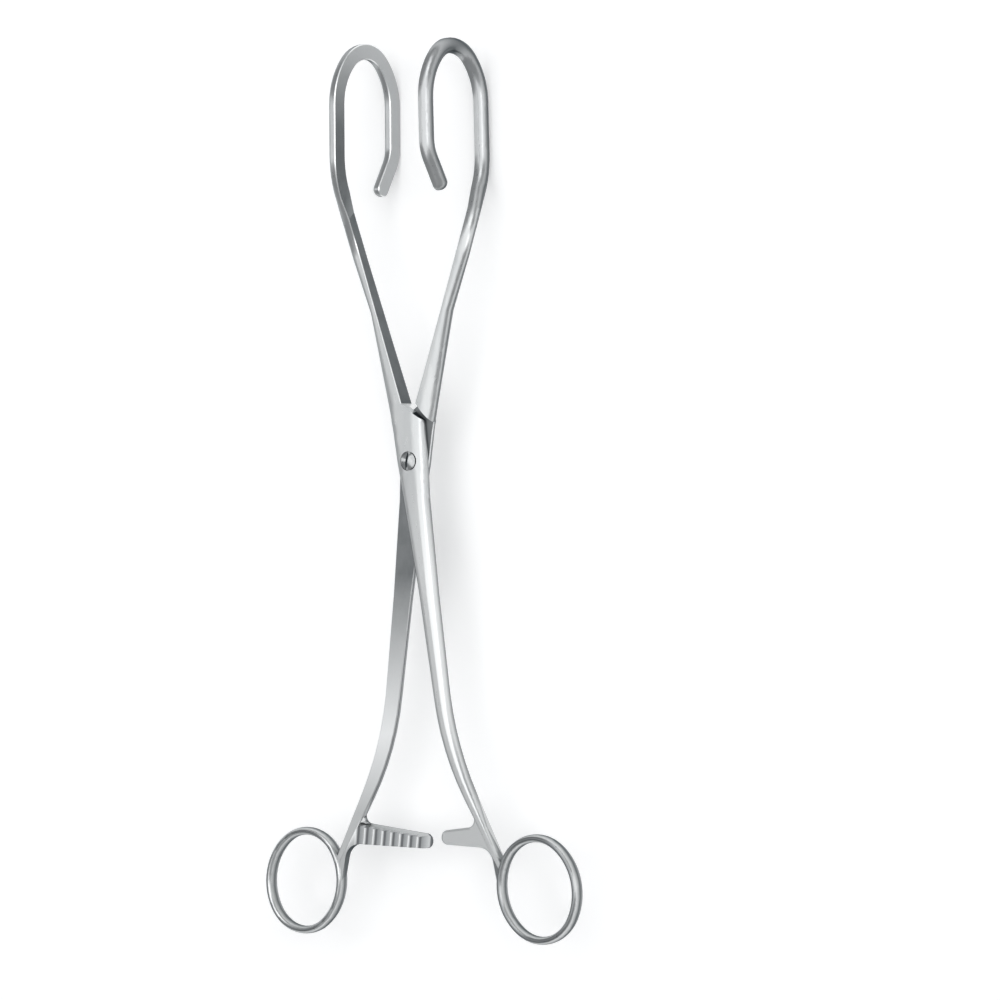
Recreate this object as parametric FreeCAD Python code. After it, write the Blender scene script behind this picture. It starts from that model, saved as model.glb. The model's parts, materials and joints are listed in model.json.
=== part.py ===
import FreeCAD, Part
import math
import os

from FreeCAD import Vector

# Uterine elevating forceps: two forged halves crossed at a lap joint and held by one screw.
# A half is drawn closed, with the pivot at the origin, +Y along the instrument to the hooks,
# +X to the right and +Z up the pivot axis. It is the front half: its hook is left of the
# centre line and its finger ring right of it. The rear half is the same forging turned half
# a turn about Y. All sizes are in millimetres and all angles in degrees.

# Position shown
opening_angle = 13.8            # between the halves

# Lap joint
joint_width = 9.0               # across one lap plate at the pivot
joint_depth = 2.7               # mid-plane to the crown of the outer face, at the pivot
joint_crown = 3.2               # width of the flat crown at the pivot
cheek_height = 8.0              # pivot to the widest part of the plate
cheek_width = 9.6
cheek_depth = 2.55
lap_gap = 0.05                  # between the two lap faces
shoulder_height = 14.5          # pivot to the inner corner of the shoulder, along the centre line
shoulder_slope = 43.0           # fall of the shoulder from the centre line outwards
shoulder_gap = 0.6              # shoulder to the plate of the other half, halves closed
edge_break = 0.22               # bevel ground along the edges of every flat

# Joint screw
screw_diameter = 2.8
screw_clearance = 0.04          # all round the shank, in the half that turns on it
thread_clearance = 0.02         # all round the shank, in the half that holds it
head_diameter = 4.4
head_height = 0.55              # of the cylindrical rim
head_dome = 0.6                 # rise of the dome over the rim
head_sink = 0.5                 # seat below the crown
head_clearance = 0.22           # all round the head, in its counterbore
seat_clearance = 0.03           # under the head
slot_width = 0.65
slot_depth = 0.65               # below the top of the dome
slot_heading = 3.0              # of the slot from the length of the half it was driven in
screw_end_sink = 0.15           # end of the screw below the crown of the rear half

# Jaw, from the shoulder to the bend below the hook
jaw_flat_offset = 0.42          # jaw flat from the centre line, at the shoulder
jaw_splay = 11.8                # of the jaw flat from the centre line
jaw_root_width = 4.8            # across the flat at the shoulder
jaw_root_thickness = 5.0        # flat to back at the shoulder
jaw_taper_share = 0.42          # of the way to the bend, where the quick taper ends
jaw_taper_width = 4.1
jaw_taper_thickness = 3.15
jaw_waist_share = 0.62          # of the way to the bend, at the thinnest place
jaw_waist_width = 3.85
jaw_waist_thickness = 2.25
jaw_bend_height = 58.5          # pivot to the corner of the lower bend
jaw_bend_width = 3.3
jaw_bend_thickness = 2.9
jaw_bend_radius = 14.0
slant_rise = 13.3               # corner of the lower bend to corner of the upper bend

# Hook, a C that stands across the instrument in a plane of its own
stem_length = 18.0              # corner of the upper bend to the foot of the arch
stem_bend_radius = 16.0
arch_rise = 13.6                # foot to top of the arch, to the middle of the bar
arch_half_width = 10.4          # middle of the arch to the middle of either arm
arch_top_radius = 8.3
hook_flat_offset = 1.9          # hook flat from the centre line, at the foot of the arch
hook_lean = 7.6                 # of the hook towards the other one
hook_twist = 5.5                # of the hook plane about its own upright
hook_bar_width = 3.85
hook_bar_thickness = 2.9
free_arm_length = 12.4          # foot of the arch to the corner of the tip bend
tip_bend_radius = 9.3
tip_turn = 29.0                 # of the tip back towards the stem
tip_length = 9.3                # tip bend corner to the middle of the rounded end

# Shank, from the pivot to the finger ring
neck_height = 10.0              # pivot to the neck below the joint
neck_width = 7.4
middle_height = 34.0
middle_width = 5.4
shank_splay = 1.0               # of the shank from the centre line, below the neck
shank_depth = 2.7
shank_crown = 1.0               # width of the flat crown of the shank
shank_bend_height = 72.3        # pivot to the corner of the bend
shank_bend_radius = 70.0
shank_bend_steps = 6            # ruled stretches that make the bend
bend_start_width = 4.4
bend_end_width = 3.3
foot_slope = 22.5               # of the lower shank from the centre line
foot_length = 33.3              # bend corner to the middle of the ring's bar
foot_end_width = 1.5            # there

# Finger ring
ring_hole_length = 23.2
ring_hole_width = 20.2
ring_end_radius = 10.2          # of its two tighter ends, to the middle of the bar
ring_lean = 6.0                 # of the long axis, top inwards
ring_entry = 30.0               # where the shank enters, up its side arc from the middle
ring_wall = 1.95               # thickness of the bar, in the plane of the ring
ring_bar_depth = 3.8            # thickness of the bar, across that plane
ring_lift = 1.3                 # middle of the bar from the mid-plane

# Ratchet arms
arm_drop = 19.6                 # corner of the shank's bend to the upper edge of either arm
arm_tip_height = 3.7            # height of the arm behind its rounded end
arm_root_height = 5.8           # height of the arm where it leaves the shank
arm_bite = 0.5                  # edge of the shank to the root of the arm, inside it
arm_thickness = 2.5
arm_upper_fillet = 2.0          # where the arm leaves the shank
arm_lower_fillet = 4.2          # from the arm into the web that runs down to the ring
arm_outer_break = 0.6           # bevel along the edges of the outer face
arm_bevel_rise = 1.1            # bevel above the teeth, along the arm's height
arm_bevel_depth = 1.5           # and along its thickness
ratchet_gap = 0.12              # tooth crests to the mid-plane, so that the arms pass
front_arm_reach = 3.3           # tip beyond the centre line, short arm of the front half
rear_arm_reach = 13.9           # tip beyond the centre line, long arm of the rear half
tooth_pitch = 2.72
tooth_depth = 0.8
tooth_land = 0.42               # flat left on each crest
rear_teeth = 7
front_teeth = 2
first_crest = 3.5               # arm tip to the first crest
lead_in_depth = 1.5             # fall of the face from the first crest to the tip

side_share = 0.3                # of a jaw section's thickness that is straight
round_weight = math.sqrt(0.5)   # makes a three-point curve an exact quarter of an ellipse
far = 60.0                      # longer than anything that is cut

up_line = Vector(0, 1, 0)
pivot_axis = Vector(0, 0, 1)


def direction(angle):
    """A unit vector in the X-Y plane, its angle measured from +Y towards +X."""
    return Vector(math.sin(math.radians(angle)), math.cos(math.radians(angle)), 0)


def station(point, tangent, flat_normal):
    """Placement of a section: its flat is on local X, its back bulges to local +Y."""
    back = -flat_normal
    across = back.cross(tangent)
    return FreeCAD.Placement(point, FreeCAD.Rotation(across, back, tangent, "ZXY"))


def swung(place, centre, axis, angle):
    """A placement turned about an axis through a centre."""
    return FreeCAD.Placement(Vector(), FreeCAD.Rotation(axis, angle), centre).multiply(place)


def half_turn_over(shape):
    """The same shape turned half a turn about the long axis, as the rear half lies."""
    turned = shape.copy()
    turned.rotate(Vector(), up_line, 180)
    return turned


def quarter(start, corner, end):
    """An exact quarter of an ellipse between two points, drawn towards their corner."""
    curve = Part.BezierCurve()
    curve.setPoles([start, corner, end])
    curve.setWeight(2, round_weight)
    return curve.toShape()


def lines(spots):
    return [Part.makeLine(a, b) for a, b in zip(spots, spots[1:])]


def placed_wire(edges, place):
    wire = Part.Wire(edges)
    wire.Placement = place
    return wire


def bar_section(place, width, thickness):
    """Half-round bar: a flat with broken edges, straight sides and an elliptical back."""
    half = width / 2
    side = thickness * side_share
    top = Vector(0, thickness)
    spots = [Vector(-half, side), Vector(-half, edge_break), Vector(-half + edge_break, 0),
             Vector(half - edge_break, 0), Vector(half, edge_break), Vector(half, side)]
    back = [quarter(spots[-1], Vector(half, thickness), top),
            quarter(top, Vector(-half, thickness), spots[0])]
    return placed_wire(lines(spots) + back, place)


def half_bar_section(place, width, thickness):
    """One side of the half-round bar, up to the middle of its flat."""
    half = width / 2
    top = Vector(0, thickness)
    spots = [top, Vector(0, 0), Vector(half - edge_break, 0),
             Vector(half, edge_break), Vector(half, thickness * side_share)]
    back = quarter(spots[-1], Vector(half, thickness), top)
    return placed_wire(lines(spots) + [back], place)


def plate_section(place, width, depth, crown):
    """Half of an oval: the lap face with broken edges, round sides and a flat crown."""
    half = width / 2
    crown_end = Vector(crown / 2, depth)
    crown_start = Vector(-crown / 2, depth)
    spots = [Vector(-half, edge_break), Vector(-half + edge_break, 0),
             Vector(half - edge_break, 0), Vector(half, edge_break)]
    dome = [quarter(spots[-1], Vector(half, depth), crown_end),
            Part.makeLine(crown_end, crown_start),
            quarter(crown_start, Vector(-half, depth), spots[0])]
    return placed_wire(lines(spots) + dome, place)


def fused(pieces):
    return pieces[0].multiFuse(pieces[1:]).removeSplitter()


class Bend:
    """A tangent arc that rounds the corner of a route from one direction to another."""

    def __init__(self, corner, before, after, radius):
        self.turn = math.degrees(before.getAngle(after))
        setback = radius * math.tan(math.radians(self.turn / 2))
        self.start = corner - before * setback
        self.end = corner + after * setback
        self.axis = before.cross(after).normalize()
        self.centre = self.start + self.axis.cross(before) * radius

    def carried(self, place, share=1.0):
        """A placement at the start of the bend, carried along a share of it."""
        return swung(place, self.centre, self.axis, self.turn * share)

    def solid(self, wire):
        """The section in a wire, swept round the bend."""
        return Part.Face(wire).revolve(self.centre, self.axis, self.turn)

    def edge(self):
        """The arc itself."""
        middle = self.carried(FreeCAD.Placement(self.start, FreeCAD.Rotation()), 0.5).Base
        return Part.Arc(self.start, middle, self.end).toShape()


class Oval:
    """A long round of four tangent arcs: two tight ends and two wide sides."""

    def __init__(self, half_length, half_width, end_radius):
        self.half_width = half_width
        self.end_reach = half_length - end_radius
        self.side_radius = ((self.end_reach ** 2 + half_width ** 2 - end_radius ** 2)
                            / (2 * (half_width - end_radius)))
        self.side_reach = self.side_radius - half_width
        self.side_turn = math.degrees(math.atan2(self.end_reach, self.side_reach))

    def arch(self, section, place, centre, across, along):
        """A section carried half way round, from the side across over the end along."""
        axis = across.cross(along)
        stages = [(centre - across * self.side_reach, self.side_turn),
                  (centre + along * self.end_reach, 180 - 2 * self.side_turn),
                  (centre + across * self.side_reach, self.side_turn)]
        pieces = []
        for middle, turn in stages:
            pieces.append(Part.Face(section(place)).revolve(middle, axis, turn))
            place = swung(place, middle, axis, turn)
        return pieces


def jaw_flat_at(height):
    """Middle of the jaw flat at a height over the pivot, below the hook."""
    fall = (height - shoulder_height) * math.tan(math.radians(jaw_splay))
    return Vector(-jaw_flat_offset - fall, height, 0)


def jaw():
    """Half-round bar from the shoulder up through two bends and round the hook."""
    upright = direction(hook_lean)
    cross = FreeCAD.Rotation(upright, -hook_twist).multVec(pivot_axis)
    flat = upright.cross(cross)
    centre = Vector(-hook_flat_offset, jaw_bend_height + slant_rise + stem_length, 0)
    stem_corner = centre + cross * arch_half_width - upright * stem_length
    bow_corner = jaw_flat_at(jaw_bend_height)
    shaft_way = direction(-jaw_splay)
    slant_way = (stem_corner - bow_corner).normalize()
    lower = Bend(bow_corner, shaft_way, slant_way, jaw_bend_radius)
    upper = Bend(stem_corner, slant_way, upright, stem_bend_radius)

    lower_start = station(lower.start, shaft_way, shaft_way.cross(pivot_axis))
    upper_start = upper.carried(station(upper.end, upright, flat), -1.0)
    lower_wire = bar_section(lower_start, jaw_bend_width, jaw_bend_thickness)
    lower_end_wire = bar_section(lower.carried(lower_start), jaw_bend_width, jaw_bend_thickness)
    upper_wire = bar_section(upper_start, hook_bar_width, hook_bar_thickness)
    shaft_wires = []
    for share, width, thickness in [(0.0, jaw_root_width, jaw_root_thickness),
                                    (jaw_taper_share, jaw_taper_width, jaw_taper_thickness),
                                    (jaw_waist_share, jaw_waist_width, jaw_waist_thickness)]:
        height = shoulder_height + (lower.start.y - shoulder_height) * share
        place = station(jaw_flat_at(height), up_line, Vector(1, 0, 0))
        shaft_wires.append(bar_section(place, width, thickness))
    shaft = Part.makeLoft(shaft_wires + [lower_wire], True, True)
    slant = Part.makeLoft([lower_end_wire, upper_wire], True, True)
    pieces = [shaft, lower.solid(lower_wire), slant, upper.solid(upper_wire)]
    return pieces + hook(centre, upper.end, upright, cross, flat)


def hook(centre, stem_start, upright, cross, flat):
    """Stem, arch, free arm, tip bend and rounded end, all in the hook plane."""
    def bar(place):
        return bar_section(place, hook_bar_width, hook_bar_thickness)

    def bar_at(point, way):
        return bar(station(point, way, flat))

    oval = Oval(arch_rise, arch_half_width, arch_top_radius)
    arch_start = centre + cross * arch_half_width
    arch_end = centre - cross * arch_half_width
    inwards = math.radians(tip_turn)
    tip_way = cross * math.sin(inwards) - upright * math.cos(inwards)
    tip_corner = arch_end - upright * free_arm_length
    tip_bend = Bend(tip_corner, -upright, tip_way, tip_bend_radius)
    nose_centre = tip_corner + tip_way * tip_length
    nose = half_bar_section(station(nose_centre, tip_way, flat), hook_bar_width, hook_bar_thickness)
    arch = oval.arch(bar, station(arch_start, upright, flat), centre, cross, upright)
    return arch + [Part.Face(bar_at(stem_start, upright)).extrude(arch_start - stem_start),
                   Part.Face(bar_at(arch_end, -upright)).extrude(tip_bend.start - arch_end),
                   tip_bend.solid(bar_at(tip_bend.start, -upright)),
                   Part.Face(bar_at(tip_bend.end, tip_way)).extrude(nose_centre - tip_bend.end),
                   Part.Face(nose).revolve(nose_centre, flat, 180)]


def beyond_shoulder(offset):
    """Everything beyond the shoulder line, outwards and up, the line moved out by an offset."""
    along = direction(90 + shoulder_slope)
    outwards = direction(shoulder_slope)
    middle = Vector(-jaw_flat_offset, shoulder_height, -far / 2) + outwards * offset
    spots = [middle - along * far, middle + along * far,
             middle + along * far + outwards * far, middle - along * far + outwards * far]
    return Part.Face(Part.makePolygon(spots + spots[:1])).extrude(pivot_axis * far)


def on_shank(height):
    """Middle of the straight shank at a height, which is below the pivot's."""
    return Vector(-(height + neck_height) * math.tan(math.radians(shank_splay)), height, 0)


def shank_corner():
    return on_shank(-shank_bend_height)


def shank_bend():
    return Bend(shank_corner(), direction(180 - shank_splay), direction(180 - foot_slope),
                shank_bend_radius)


def on_foot(distance):
    """Middle of the shank below its bend, at a distance from the corner of the bend."""
    return shank_corner() + direction(180 - foot_slope) * distance


def plate_and_shank():
    """Lap plate narrowing into the shank, its bend and its foot, which ends in the ring's bar."""
    lift = pivot_axis * (lap_gap / 2)
    wires = []

    def add_section(point, way, width, depth, crown):
        place = station(point + lift, way, -pivot_axis)
        wires.append(plate_section(place, width, depth - lift.z, crown))

    add_section(up_line * shoulder_height, -up_line, 2 * (jaw_flat_offset + jaw_root_thickness),
                jaw_root_width / 2, 2 * (jaw_flat_offset + jaw_root_thickness * side_share))
    for height, width, depth in [(cheek_height, cheek_width, cheek_depth),
                                 (0, joint_width, joint_depth),
                                 (-neck_height, neck_width, joint_depth)]:
        crown = joint_crown * width / joint_width
        add_section(up_line * height, -up_line, width, depth, crown)
    add_section(on_shank(-middle_height), -up_line, middle_width, shank_depth, shank_crown)

    bend = shank_bend()
    bend_start = station(bend.start + lift, direction(180 - shank_splay), -pivot_axis)
    for step in range(shank_bend_steps + 1):
        share = step / shank_bend_steps
        width = bend_start_width + (bend_end_width - bend_start_width) * share ** 2
        wires.append(plate_section(bend.carried(bend_start, share), width,
                                   shank_depth - lift.z, shank_crown))
    add_section(on_foot(foot_length), direction(180 - foot_slope), foot_end_width,
                shank_depth, shank_crown)
    return Part.makeLoft(wires, True, True)


def jaw_root():
    """Full-depth foot of the jaw beside the lap plate."""
    thicknesses = [(shoulder_height, jaw_root_thickness, jaw_root_width),
                   (cheek_height, cheek_width / 2 - jaw_flat_offset, 2 * cheek_depth)]
    wires = []
    for height, thickness, width in thicknesses:
        place = station(Vector(-jaw_flat_offset, height, 0), up_line, Vector(1, 0, 0))
        wires.append(bar_section(place, width, thickness))
    return Part.makeLoft(wires, True, True)


def ring_oval():
    return Oval((ring_hole_length + ring_wall) / 2, (ring_hole_width + ring_wall) / 2,
                ring_end_radius)


def ring_side_centre():
    """Centre of the ring's side arc that the foot enters."""
    entry_way = direction(-90 - ring_lean + ring_entry)
    return on_foot(foot_length) - entry_way * ring_oval().side_radius


def ring():
    """Finger ring: an elliptical bar bent to an oval."""
    def bar(place):
        return placed_wire([Part.Ellipse(Vector(), ring_bar_depth / 2, ring_wall / 2).toShape()],
                           place)

    oval = ring_oval()
    centre = ring_side_centre() - direction(90 - ring_lean) * oval.side_reach
    centre += pivot_axis * ring_lift
    pieces = []
    for heading in (-ring_lean, 180 - ring_lean):
        along = direction(heading)
        across = along.cross(pivot_axis)
        start = station(centre + across * oval.half_width, along, -across)
        pieces += oval.arch(bar, start, centre, across, along)
    return pieces


def arm_blank(reach):
    """Flat arm with a rounded tip, filleted into the shank and into a web down to the ring."""
    top = shank_bend_height + arm_drop
    radius = arm_tip_height / 2
    right = Vector(1, 0, 0)

    def shank_edge(height):
        """The inner edge of the foot at a height, less the bite."""
        distance = (height - shank_bend_height) / math.cos(math.radians(foot_slope))
        taper_start = (shank_bend().end - shank_corner()).Length
        share = (distance - taper_start) / (foot_length - taper_start)
        width = bend_end_width + (foot_end_width - bend_end_width) * share
        reach_in = arm_bite - width / 2 / math.cos(math.radians(foot_slope))
        return on_foot(distance) + right * reach_in

    top_corner = shank_edge(top)
    low_corner = shank_edge(top + arm_root_height)
    tip_top = Vector(radius - reach, -top, 0)
    tip_low = Vector(radius - reach, -top - arm_tip_height, 0)
    tip_end = Vector(-reach, -top - radius, 0)
    edge_way = (top_corner - low_corner).normalize()
    low_way = (tip_low - low_corner).normalize()
    to_ring = ring_side_centre() - low_corner
    ring_reach = ring_oval().side_radius + ring_wall / 4
    web_length = math.sqrt(to_ring.Length ** 2 - ring_reach ** 2)
    web_turn = math.degrees(math.atan2(ring_reach, web_length))
    web_way = FreeCAD.Rotation(pivot_axis, -web_turn).multVec(to_ring).normalize()
    web_end = low_corner + web_way * web_length
    upper = Bend(top_corner, right, edge_way, arm_upper_fillet)
    lower = Bend(low_corner, -web_way, low_way, arm_lower_fillet)
    into_shank = right * (foot_end_width / 2)
    edges = lines([tip_top, upper.start]) + [upper.edge()]
    edges += lines([upper.end, upper.end + into_shank, on_foot(foot_length), web_end,
                    lower.start])
    edges += [lower.edge()] + lines([lower.end, tip_low])
    edges.append(Part.Arc(tip_low, tip_end, tip_top).toShape())
    outline = placed_wire(edges, FreeCAD.Placement(pivot_axis * ratchet_gap, FreeCAD.Rotation()))
    blank = Part.Face(outline).extrude(pivot_axis * arm_thickness)
    shank_side = edge_way.cross(pivot_axis)
    outer_edges = [edge for edge in blank.Edges if edge.BoundBox.ZMin > arm_thickness / 2
                   and (edge.CenterOfMass - top_corner).dot(shank_side) < 0]
    return blank.makeChamfer(arm_outer_break, outer_edges)


def prism(spots, along):
    return Part.Face(Part.makePolygon(spots + spots[:1])).extrude(along)


def ratchet_arm(reach, teeth):
    """Arm with saw teeth on the face towards the mid-plane, bevelled above them."""
    arm = arm_blank(reach)
    top = shank_bend_height + arm_drop
    below = -arm_thickness
    down = up_line * -(top + 2 * arm_root_height)
    across = up_line * (4 * arm_root_height)
    crests = [first_crest - reach + tooth_pitch * number for number in range(teeth + 1)]
    cuts = []
    for crest, next_crest in zip(crests, crests[1:]):
        wall = crest + tooth_land
        spots = [Vector(wall, 0, below), Vector(wall, 0, ratchet_gap + tooth_depth),
                 Vector(next_crest, 0, ratchet_gap), Vector(next_crest, 0, below)]
        cuts.append(prism([down + spot for spot in spots], across))
    tip_spots = [Vector(-reach, 0, below), Vector(-reach, 0, ratchet_gap + lead_in_depth),
                 Vector(crests[0], 0, ratchet_gap), Vector(crests[0], 0, below)]
    cuts.append(prism([down + spot for spot in tip_spots], across))
    bevel_spots = [Vector(-reach, -top - arm_bevel_rise, ratchet_gap),
                   Vector(-reach, -top, ratchet_gap + arm_bevel_depth),
                   Vector(-reach, -top, below),
                   Vector(-reach, -top - arm_bevel_rise, below)]
    cuts.append(prism(bevel_spots, Vector(crests[-1] + reach, 0, 0)))
    return arm.cut(cuts)


def half(reach, teeth):
    """One forged half without its screw hole, closed."""
    plate = plate_and_shank().cut(beyond_shoulder(0))
    relief = half_turn_over(beyond_shoulder(shoulder_gap))
    root = jaw_root().common(relief)
    plate = plate.cut(relief)
    return fused([plate, root, ratchet_arm(reach, teeth)] + jaw() + ring())


def joint_screw():
    """Domed, slotted screw with a plain shank that passes both plates."""
    seat = joint_depth - head_sink + seat_clearance
    rim = seat + head_height
    crown = rim + head_dome
    end = screw_end_sink - joint_depth
    half_shank = screw_diameter / 2
    half_head = head_diameter / 2
    spots = [Vector(0, 0, crown), Vector(0, 0, end), Vector(half_shank, 0, end),
             Vector(half_shank, 0, seat), Vector(half_head, 0, seat), Vector(half_head, 0, rim)]
    sphere_radius = (half_head ** 2 + head_dome ** 2) / (2 * head_dome)
    shoulder = half_head / 2
    rise = math.sqrt(sphere_radius ** 2 - shoulder ** 2) - (sphere_radius - head_dome)
    dome = Part.Arc(spots[-1], Vector(shoulder, 0, rim + rise), spots[0]).toShape()
    body = Part.Face(Part.Wire(lines(spots) + [dome])).revolve(Vector(), pivot_axis, 360)
    slot = Part.makeBox(slot_width, head_diameter * 2, head_dome + head_height,
                        Vector(-slot_width / 2, -head_diameter, crown - slot_depth))
    slot.rotate(Vector(), pivot_axis, -slot_heading)
    return body.cut(slot)


def bore(diameter, floor):
    """A round hole about the pivot, from a floor up through everything."""
    return Part.makeCylinder(diameter / 2, far, Vector(0, 0, floor))


def make_forceps():
    front = half(front_arm_reach, front_teeth)
    front = front.cut([bore(screw_diameter + 2 * screw_clearance, -far / 2),
                       bore(head_diameter + 2 * head_clearance, joint_depth - head_sink)])
    rear = half_turn_over(half(rear_arm_reach, rear_teeth))
    rear = rear.cut(bore(screw_diameter + 2 * thread_clearance, -far / 2))
    screw = joint_screw()
    front.rotate(Vector(), pivot_axis, opening_angle / 2)
    for shape in (rear, screw):
        shape.rotate(Vector(), pivot_axis, -opening_angle / 2)
    return {"front_half": front, "rear_half": rear, "joint_screw": screw}


def main():
    nodes = make_forceps()
    box = Part.Compound(list(nodes.values())).optimalBoundingBox(False, False)
    to_origin = Vector(-(box.XMin + box.XMax) / 2, -(box.YMin + box.YMax) / 2, -box.ZMin)
    os.makedirs("parts", exist_ok=True)
    for name, shape in nodes.items():
        shape.translate(to_origin)
        shape.exportStep("parts/" + name + ".step")
        print(name, "valid", shape.isValid(), "solids", len(shape.Solids),
              "volume", round(shape.Volume, 1))
    print("pivot at", [round(value, 3) for value in to_origin])
    print("size", [round(value, 2) for value in (box.XLength, box.YLength, box.ZLength)])


main()
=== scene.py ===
import bpy
import json
import math
from mathutils import Vector, Matrix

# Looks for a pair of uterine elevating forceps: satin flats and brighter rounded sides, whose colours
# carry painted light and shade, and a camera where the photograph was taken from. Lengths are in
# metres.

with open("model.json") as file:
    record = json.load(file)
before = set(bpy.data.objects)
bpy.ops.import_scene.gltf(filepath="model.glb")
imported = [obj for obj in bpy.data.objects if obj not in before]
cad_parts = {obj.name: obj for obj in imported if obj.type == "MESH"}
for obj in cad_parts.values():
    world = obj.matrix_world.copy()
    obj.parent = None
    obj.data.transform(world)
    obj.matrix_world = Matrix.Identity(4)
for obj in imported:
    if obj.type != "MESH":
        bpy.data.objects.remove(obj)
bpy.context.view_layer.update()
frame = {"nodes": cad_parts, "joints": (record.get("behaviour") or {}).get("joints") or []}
nodes = frame["nodes"]
lapJoint = frame["joints"][0]
pivot = Vector(lapJoint["pos_m"])
print("frame loaded:", sorted(nodes))


# steel finishes, whose colours carry painted light and shade

def newMaterial(name):
    material = bpy.data.materials.new(name)
    material.use_nodes = True
    tree = material.node_tree
    return material, tree, tree.nodes["Principled BSDF"]


def addNoise(tree, place, scale, stretch):
    # grain in the part's own metres, drawn out along its length
    mapping = tree.nodes.new("ShaderNodeMapping")
    mapping.inputs["Scale"].default_value = (1, 1 / stretch, 1)
    tree.links.new(place.outputs["Object"], mapping.inputs["Vector"])
    noise = tree.nodes.new("ShaderNodeTexNoise")
    noise.inputs["Scale"].default_value = scale
    noise.inputs["Detail"].default_value = 3
    tree.links.new(mapping.outputs["Vector"], noise.inputs["Vector"])
    return noise.outputs["Fac"]


def spread(tree, value, span, low, high):
    # a value between the two ends of span, mapped to between low and high
    stretchOut = tree.nodes.new("ShaderNodeMapRange")
    stretchOut.inputs["From Min"].default_value = span[0]
    stretchOut.inputs["From Max"].default_value = span[1]
    stretchOut.inputs["To Min"].default_value = low
    stretchOut.inputs["To Max"].default_value = high
    tree.links.new(value, stretchOut.inputs["Value"])
    return stretchOut.outputs["Result"]


def blend(tree, share, first, second):
    mix = tree.nodes.new("ShaderNodeMix")
    mix.data_type = "RGBA"
    tree.links.new(share, mix.inputs["Factor"])
    for socket, colour in ((mix.inputs[6], first), (mix.inputs[7], second)):
        if isinstance(colour, tuple):
            socket.default_value = colour
        else:
            tree.links.new(colour, socket)
    return mix.outputs[2]


def alongTooth(tree, place, alongArm, firstTooth, pitch):
    # 0 where a ratchet tooth starts and 1 where it ends, for the painted light and groove shade along
    # each tooth
    reach = tree.nodes.new("ShaderNodeVectorMath")
    reach.operation = "DOT_PRODUCT"
    reach.inputs[1].default_value = alongArm
    tree.links.new(place.outputs["Object"], reach.inputs[0])
    manyTeeth = 100             # more than an arm has
    lastTooth = firstTooth + manyTeeth * pitch
    count = spread(tree, reach.outputs["Value"], (firstTooth, lastTooth), 0, manyTeeth)
    part = tree.nodes.new("ShaderNodeMath")
    part.operation = "FRACT"
    tree.links.new(count, part.inputs[0])
    return part.outputs["Value"]


# crown: the colour of what looks up or down; cloud: the other colour that it drifts to; then a painted
# side shade: the darker colour painted on the sides, or None for one colour all round. It is reached
# where the height of the surface's normal is the first number of its span and gone at the second.
# fades: painted light and shade, where along an axis, from the pivot, the crown goes over into another
# colour; "slope" is the height of the normal and "tooth" the way along a ratchet tooth.
# painted light on the rounded sides: painted shade where they look sideways, and a lighter colour
# below the pivot
roundSteelPaintedLight = {
    "crown": (0.56, 0.57, 0.57, 1),
    "cloud": (0.48, 0.495, 0.50, 1),
    "cloudScale": 240,
    "paintedSideShade": (0.12, 0.13, 0.135, 1),
    "paintedSideShadeSpan": (0, 0.35),
    "fades": [{"axis": "Y", "span": (0, -0.03), "colour": (0.66, 0.67, 0.67, 1)}],
    "roughness": (0.27, 0.33),
    "grainScale": 2400,
    "grainStretch": 8,
    "bump": 0.012,
}
# painted light on the lap faces: dark near the joint, light further down the shank, then a little
# darker towards the arm
lapSteelPaintedLight = {
    "crown": (0.225, 0.235, 0.24, 1),
    "cloud": (0.19, 0.20, 0.205, 1),
    "cloudScale": 300,
    "paintedSideShade": None,
    "fades": [
        {"axis": "Y", "span": (-0.028, -0.068), "colour": (0.92, 0.93, 0.93, 1)},
        {"axis": "Y", "span": (-0.068, -0.088), "colour": (0.6, 0.61, 0.61, 1)}],
    "roughness": (0.38, 0.48),
    "grainScale": 3600,
    "grainStretch": 1.5,
    "bump": 0.2,
}
# painted shade: the jaw flats get a dark steel colour that stands in for the dark they reflect
jawSteelPaintedShade = dict(lapSteelPaintedLight, fades=[], crown=(0.18, 0.19, 0.195, 1), cloud=(0.15, 0.16, 0.165, 1))
# painted light on the ratchet teeth: each slope turns lighter along its length and ends in a painted
# dark groove
toothSteelPaintedLight = dict(jawSteelPaintedShade, crown=(0.26, 0.27, 0.275, 1), cloud=(0.22, 0.23, 0.235, 1), fades=[
    {"axis": "tooth", "span": (0.05, 0.65), "colour": (0.46, 0.47, 0.475, 1)},
    {"axis": "tooth", "span": (0.74, 0.82), "colour": (0.13, 0.135, 0.14, 1)}])
# painted light and shade on the finger rings: lightest where the surface looks half up, painted shade
# where it looks level, and darker where it looks nearly straight up or down
ringSteelPaintedLight = dict(
    roundSteelPaintedLight, paintedSideShade=(0.07, 0.08, 0.085, 1), paintedSideShadeSpan=(-0.05, 0.45), crown=(0.74, 0.75, 0.75, 1),
    cloud=(0.62, 0.63, 0.63, 1),
    fades=[{"axis": "slope", "span": (0.5, 0.85), "colour": (0.24, 0.25, 0.255, 1)}])
# painted shade on the hooks' rounded sides: the painted side shade, and a darker crown up at the hooks
hookRoundSteelPaintedShade = dict(roundSteelPaintedLight, paintedSideShadeSpan=(0, 0.55), fades=[
    {"axis": "Y", "span": (0.062, 0.078), "colour": (0.48, 0.49, 0.495, 1)}])
# painted light on the hook flats: the dark jaw colour turns lighter towards the arch and towards the
# free arm
hookSteelPaintedLight = dict(jawSteelPaintedShade, fades=[
    {"axis": "Y", "span": (0.082, 0.102), "colour": (0.44, 0.45, 0.455, 1)},
    {"axis": "Z", "span": (0.007, -0.003), "colour": (0.46, 0.47, 0.475, 1)}])
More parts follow.
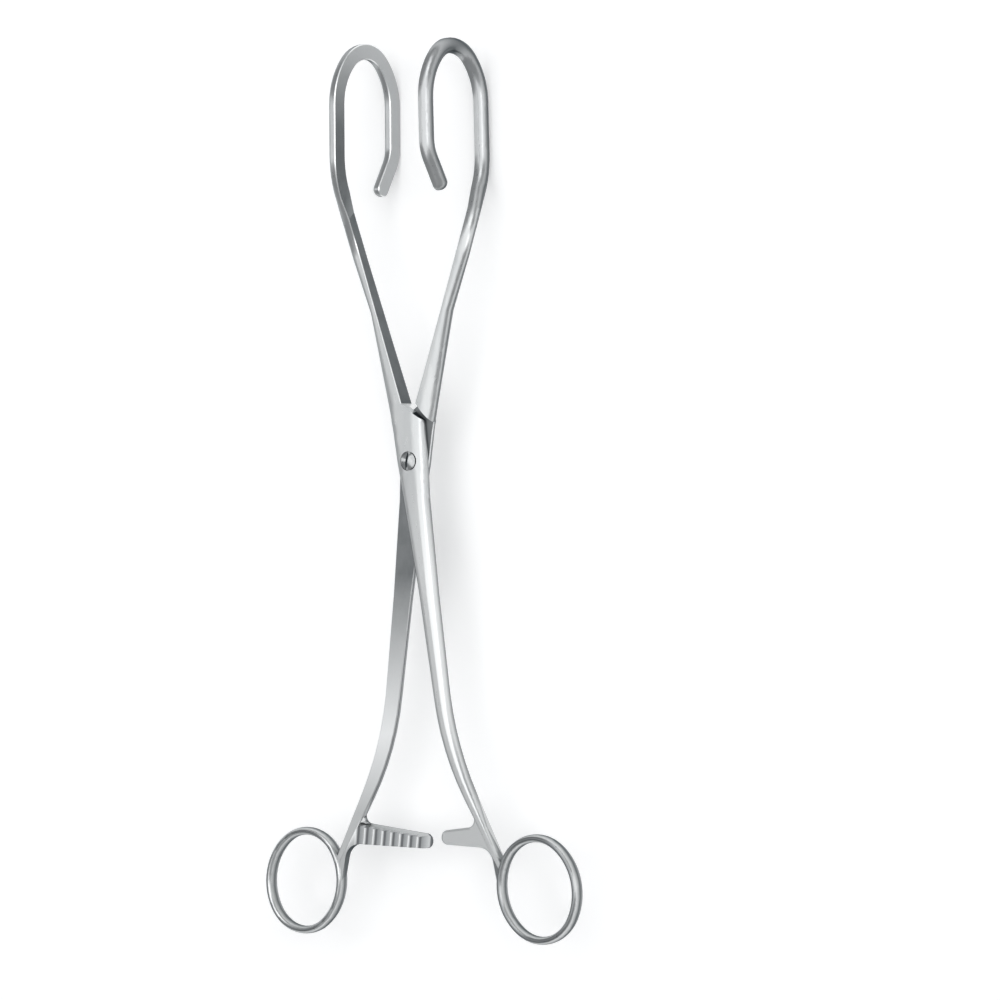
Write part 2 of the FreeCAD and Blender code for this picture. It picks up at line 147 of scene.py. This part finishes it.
# painted highlight: broken edges and tooth crests get a near-white steel colour
edgeSteelPaintedHighlight = dict(
    roundSteelPaintedLight, crown=(0.92, 0.93, 0.93, 1), cloud=(0.8, 0.81, 0.81, 1), cloudScale=500, paintedSideShade=None)
# painted shade on the screw head: it darkens to near black where its surface looks level, round the
# rim
screwSteelPaintedShade = {
    "crown": (0.5, 0.51, 0.51, 1),
    "cloud": (0.38, 0.39, 0.395, 1),
    "cloudScale": 900,
    "paintedSideShade": (0.06, 0.07, 0.075, 1),
    "paintedSideShadeSpan": (0.3, 0.95),
    "fades": [],
    "roughness": (0.16, 0.24),
    "grainScale": 2600,
    "grainStretch": 1,
    "bump": 0.06,
}

noiseLook = {
    "cloudSpan": (0.4, 0.7),    # values of the noise that the drift from crown to cloud runs over
    "grainSpan": (0.3, 0.7),    # and those that the roughness runs over
    "bumpHeight": 0.00002,
}


def makeSteel(name, finishAndPaintedLight, upside=1, teeth=None):
    # upside: -1 where the half lies turned over; teeth: the arm's direction, first tooth and pitch
    material, tree, shader = newMaterial(name)
    place = tree.nodes.new("ShaderNodeTexCoord")
    grain = addNoise(tree, place, finishAndPaintedLight["grainScale"], finishAndPaintedLight["grainStretch"])
    cloud = addNoise(tree, place, finishAndPaintedLight["cloudScale"], finishAndPaintedLight["grainStretch"])
    where = tree.nodes.new("ShaderNodeSeparateXYZ")
    tree.links.new(place.outputs["Object"], where.inputs["Vector"])
    facing = tree.nodes.new("ShaderNodeSeparateXYZ")
    tree.links.new(place.outputs["Normal"], facing.inputs["Vector"])
    slope = tree.nodes.new("ShaderNodeMath")
    slope.operation = "ABSOLUTE"
    tree.links.new(facing.outputs["Z"], slope.inputs[0])

    drift = spread(tree, cloud, noiseLook["cloudSpan"], 0, 1)
    colour = blend(tree, drift, finishAndPaintedLight["crown"], finishAndPaintedLight["cloud"])
    # painted light and shade: each fade turns the colour lighter or darker along its axis
    for fade in finishAndPaintedLight["fades"]:
        start, end = fade["span"]
        if fade["axis"] == "tooth":
            value = alongTooth(tree, place, *teeth)
        elif fade["axis"] == "slope":
            value = slope.outputs["Value"]
        elif fade["axis"] == "Z":
            value = where.outputs["Z"]
            start, end = pivot.z + start * upside, pivot.z + end * upside
        else:
            value = where.outputs["Y"]
            start, end = pivot.y + start, pivot.y + end
        colour = blend(tree, spread(tree, value, (start, end), 0, 1), colour, fade["colour"])
    # painted shade: where the normal lies level, the colour goes over into the darker side colour
    if finishAndPaintedLight["paintedSideShade"]:
        paintedSideShadeShare = spread(tree, slope.outputs["Value"], finishAndPaintedLight["paintedSideShadeSpan"], 1, 0)
        colour = blend(tree, paintedSideShadeShare, colour, finishAndPaintedLight["paintedSideShade"])
    tree.links.new(colour, shader.inputs["Base Color"])
    shader.inputs["Metallic"].default_value = 1
    shader.inputs["Specular Tint"].default_value = (0.35, 0.37, 0.38, 1)      # dims grazing edges
    roughness = spread(tree, grain, noiseLook["grainSpan"], *finishAndPaintedLight["roughness"])
    tree.links.new(roughness, shader.inputs["Roughness"])
    height = tree.nodes.new("ShaderNodeBump")
    height.inputs["Strength"].default_value = finishAndPaintedLight["bump"]
    height.inputs["Distance"].default_value = noiseLook["bumpHeight"]
    tree.links.new(grain, height.inputs["Height"])
    tree.links.new(height.outputs["Normal"], shader.inputs["Normal"])
    return material


polishedSidesPaintedLight = makeSteel("polishedSidesPaintedLight", roundSteelPaintedLight)
satinLapPaintedLight = makeSteel("satinLapPaintedLight", lapSteelPaintedLight)
satinJawPaintedShade = makeSteel("satinJawPaintedShade", jawSteelPaintedShade)
satinRingsPaintedLight = makeSteel("satinRingsPaintedLight", ringSteelPaintedLight)
hookRoundsPaintedShade = makeSteel("hookRoundsPaintedShade", hookRoundSteelPaintedShade)
paintedHighlightEdges = makeSteel("paintedHighlightEdges", edgeSteelPaintedHighlight)
turnedScrewPaintedShade = makeSteel("turnedScrewPaintedShade", screwSteelPaintedShade)


# the two halves and their screw

halfLook = {
    "weldDistance": 0.000002,
    "sharpAngle": 35,           # degrees; a sharper edge than this stays an edge
    "largeFaceWeight": 80,      # how far large faces rule the shading
    "inwards": (0.995, 0, 0.096),       # where the front half's jaw flat looks
    "flatTolerance": 0.93,      # how squarely a flat must look inwards or at the other half
    "edgeTolerance": 0.5,       # and the broken edge beside one
    "lapEdgeLimit": 0.9,        # what looks at the other half more squarely isn't a broken edge
    "squareTolerance": 0.999,   # and what looks so squarely lies right across the screw
    "edgeDepth": 0.0006,        # from the lap face to where its broken edge ends
    "jawStart": 0.012,          # above the pivot
    "hookStart": 0.062,         # above the pivot
    "footStart": 0.06,          # below the pivot
    "armStart": 0.09,           # below the pivot
    "ringMiddle": (0.0366, -0.1054),    # from the pivot; the other half's is mirrored
    "ringReach": 0.0142,
    "toothPitch": 0.00272,
    "crestDepth": 0.00008,      # the tooth crests lie deeper than this, the lap face doesn't
    # the shank's wall at the arm's root takes the lap colour, a painted light over the shade there
    "rootWall": (0.0915, 0.0865),       # below the pivot, where the shank's wall meets the arm
    "rootDepth": 0.0012,        # how far from the lap plane that wall reaches
    "rootTilt": 0.3,            # and how far its normal may lean towards the screw
    "backTolerance": 0.99,      # how squarely the arm's back looks away from the other half
    "toothTilt": (0.2, 0.4),    # sideways part of a ratchet tooth's sloping face
    "halfOpening": 6.9,         # degrees that each half is turned from the closed position
}


def smoothOver(node):
    for polygon in node.data.polygons:
        polygon.use_smooth = True
    weld = node.modifiers.new("joinFaces", "WELD")
    weld.merge_threshold = halfLook["weldDistance"]
    split = node.modifiers.new("keepEdges", "EDGE_SPLIT")
    split.split_angle = math.radians(halfLook["sharpAngle"])
    even = node.modifiers.new("evenShading", "WEIGHTED_NORMAL")
    even.weight = halfLook["largeFaceWeight"]


def dressHalf(node, side):
    # side: 1 for the front half and -1 for the rear one, which lies turned over
    inwards = Vector(halfLook["inwards"]) * side
    lapNormal = Vector((0, 0, -side))
    turn = math.radians(halfLook["halfOpening"]) * side
    alongArm = Vector((math.cos(turn), math.sin(turn), 0))
    hookFlatsPaintedLight = makeSteel(node.name + "HookFlats", hookSteelPaintedLight, side)

    def isTooth(polygon):
        lowTilt, highTilt = halfLook["toothTilt"]
        onArm = polygon.center.y < pivot.y - halfLook["armStart"]
        facesLap = polygon.normal.dot(lapNormal) > halfLook["lapEdgeLimit"]
        return onArm and facesLap and lowTilt < abs(polygon.normal.dot(alongArm)) < highTilt

    def isBrokenEdge(polygon, height):
        # a narrow slope between a flat and a round side, which gets the painted highlight
        onJaw = height > halfLook["jawStart"]
        besideJawFlat = onJaw and polygon.normal.dot(inwards) > halfLook["edgeTolerance"]
        nearLapPlane = not onJaw and abs(polygon.center.z - pivot.z) < halfLook["edgeDepth"]
        acrossLap = polygon.normal.dot(lapNormal)
        besideLap = halfLook["edgeTolerance"] < acrossLap < halfLook["lapEdgeLimit"]
        return besideJawFlat or nearLapPlane and besideLap

    def isRing(polygon):
        acrossRing, alongRing = halfLook["ringMiddle"]
        middle = Vector((pivot.x + acrossRing * side, pivot.y + alongRing))
        return (polygon.center.xy - middle).length < halfLook["ringReach"]

    polygons = node.data.polygons
    vertices = node.data.vertices
    toothSpots = [vertices[index].co.dot(alongArm) for polygon in polygons if isTooth(polygon)
                  for index in polygon.vertices]
    teeth = (alongArm, min(toothSpots), halfLook["toothPitch"])
    satinTeethPaintedLight = makeSteel(node.name + "Teeth", toothSteelPaintedLight, side, teeth)
    finishesAndPaintedLight = [polishedSidesPaintedLight, satinLapPaintedLight, satinJawPaintedShade, hookFlatsPaintedLight, satinTeethPaintedLight, paintedHighlightEdges, satinRingsPaintedLight,
                hookRoundsPaintedShade]
    node.data.materials.clear()
    for finishAndPaintedLight in finishesAndPaintedLight:
        node.data.materials.append(finishAndPaintedLight)
    for polygon in polygons:
        height = polygon.center.y - pivot.y
        depth = abs(polygon.center.z - pivot.z)
        acrossLap = polygon.normal.dot(lapNormal)
        looksInwards = polygon.normal.dot(inwards) > halfLook["flatTolerance"]
        squareToScrew = acrossLap > halfLook["squareTolerance"]
        inLapPlane = squareToScrew and depth < halfLook["crestDepth"]
        onFoot = height < -halfLook["footStart"] and acrossLap > halfLook["flatTolerance"]
        onArm = height < -halfLook["armStart"]
        onCrest = onArm and squareToScrew and not inLapPlane
        onArmBack = onArm and acrossLap < -halfLook["backTolerance"]
        wallStart, wallEnd = halfLook["rootWall"]
        onRootWall = wallEnd < -height < wallStart and depth < halfLook["rootDepth"]
        atArmRoot = onRootWall and abs(polygon.normal.z) < halfLook["rootTilt"]
        finishAndPaintedLight = satinRingsPaintedLight if isRing(polygon) else polishedSidesPaintedLight
        if height > halfLook["hookStart"]:
            finishAndPaintedLight = hookRoundsPaintedShade
        if looksInwards and height > halfLook["hookStart"]:
            finishAndPaintedLight = hookFlatsPaintedLight
        elif looksInwards and height > halfLook["jawStart"]:
            finishAndPaintedLight = satinJawPaintedShade
        elif isTooth(polygon):
            finishAndPaintedLight = satinTeethPaintedLight
        # tooth crests get the painted highlight
        elif onCrest:
            finishAndPaintedLight = paintedHighlightEdges
        # the lap colours, with their painted light, go on the lap flats, the arm's back, the foot and
        # the wall at the arm's root
        elif inLapPlane or atArmRoot or (onArmBack or onFoot) and not isRing(polygon):
            finishAndPaintedLight = satinLapPaintedLight
        elif isBrokenEdge(polygon, height):
            finishAndPaintedLight = paintedHighlightEdges
        polygon.material_index = finishesAndPaintedLight.index(finishAndPaintedLight)
    smoothOver(node)


dressHalf(nodes["front_half"], 1)
dressHalf(nodes["rear_half"], -1)
screw = nodes["joint_screw"]
screw.data.materials.clear()
screw.data.materials.append(turnedScrewPaintedShade)
smoothOver(screw)
print("halves and screw dressed")


# floor, light and camera

floorLook = {
    "size": 3.0,
    "drop": 0.0002,             # below the part's lowest face
    "colour": (0.93, 0.93, 0.93, 1),
    "lift": 0.18,               # glow that only the camera, reflections and glass see; lights nothing
}
bpy.ops.object.select_all(action="DESELECT")
bpy.ops.mesh.primitive_plane_add(size=floorLook["size"], location=(0, 0, -floorLook["drop"]))
floor = bpy.context.active_object
floor.name = "floor"
floorPaint, floorTree, floorShader = newMaterial("floorPaint")
floorShader.inputs["Base Color"].default_value = floorLook["colour"]
floorShader.inputs["Roughness"].default_value = 0.9
floorShader.inputs["Emission Color"].default_value = (1, 1, 1, 1)
rays = floorTree.nodes.new("ShaderNodeLightPath")
seen = rays.outputs["Is Camera Ray"]
for kind in ("Is Glossy Ray", "Is Transmission Ray"):
    either = floorTree.nodes.new("ShaderNodeMath")
    either.operation = "MAXIMUM"
    floorTree.links.new(seen, either.inputs[0])
    floorTree.links.new(rays.outputs[kind], either.inputs[1])
    seen = either.outputs["Value"]
glow = spread(floorTree, seen, (0, 1), 0, floorLook["lift"])
floorTree.links.new(glow, floorShader.inputs["Emission Strength"])
floor.data.materials.append(floorPaint)

softboxes = [
    {"name": "topBox", "angle": 12, "height": 0.15, "distance": 1.5, "size": (2.1, 2.6), "power": 19},
    {"name": "leftBox", "angle": -62, "height": 0.1, "distance": 1.6, "size": (0.35, 1.6), "power": 2},
    {"name": "rightBox", "angle": 62, "height": 0.1, "distance": 1.6, "size": (0.8, 1.6), "power": 4},
    {"name": "hookBox", "angle": 20, "height": 1.4, "distance": 1.1, "size": (1.2, 0.8), "power": 3.5},
]


def addSoftbox(box):
    # angle: from straight above towards +X; height: along +Y, as a share of the distance
    tilt = math.radians(box["angle"])
    spot = pivot + Vector((math.sin(tilt), box["height"], math.cos(tilt))) * box["distance"]
    lamp = bpy.data.lights.new(box["name"], "AREA")
    lamp.shape = "RECTANGLE"
    lamp.size, lamp.size_y = box["size"]
    lamp.energy = box["power"]
    holder = bpy.data.objects.new(box["name"], lamp)
    bpy.context.scene.collection.objects.link(holder)
    holder.location = spot
    holder.rotation_euler = (pivot - spot).to_track_quat("-Z", "Y").to_euler()


for box in softboxes:
    addSoftbox(box)

world = bpy.data.worlds.new("studio")
bpy.context.scene.world = world
world.use_nodes = True
background = world.node_tree.nodes["Background"]
background.inputs["Color"].default_value = (0.9, 0.92, 0.94, 1)
background.inputs["Strength"].default_value = 0.42

photoView = {
    "azimuth": 35,              # degrees from straight above towards +X
    "roll": 0.9,
    "distance": 1.3,
    "metresPerPixel": 0.0002486,
    "pivotPixel": (414.4, 461.0),
    "imageSize": 1000,
}


def addCamera(look):
    swing = math.radians(look["azimuth"])
    away = Vector((math.sin(swing), 0, math.cos(swing)))
    roll = Matrix.Rotation(math.radians(-look["roll"]), 3, away)
    right = roll @ Vector((math.cos(swing), 0, -math.sin(swing)))
    up = away.cross(right)
    middle = look["imageSize"] / 2
    pixelX, pixelY = look["pivotPixel"]
    aim = pivot + (right * (middle - pixelX) + up * (pixelY - middle)) * look["metresPerPixel"]
    lens = bpy.data.cameras.new("photoCamera")
    lens.sensor_width = 36
    lens.lens = look["distance"] / (look["metresPerPixel"] * look["imageSize"]) * lens.sensor_width
    lens.clip_end = 20
    camera = bpy.data.objects.new("photoCamera", lens)
    bpy.context.scene.collection.objects.link(camera)
    turn = Matrix((right, up, away)).transposed().to_4x4()
    turn.translation = aim + away * look["distance"]
    camera.matrix_world = turn
    bpy.context.scene.camera = camera


addCamera(photoView)
bpy.context.scene.view_settings.view_transform = "Standard"
print("floor, light and camera placed")
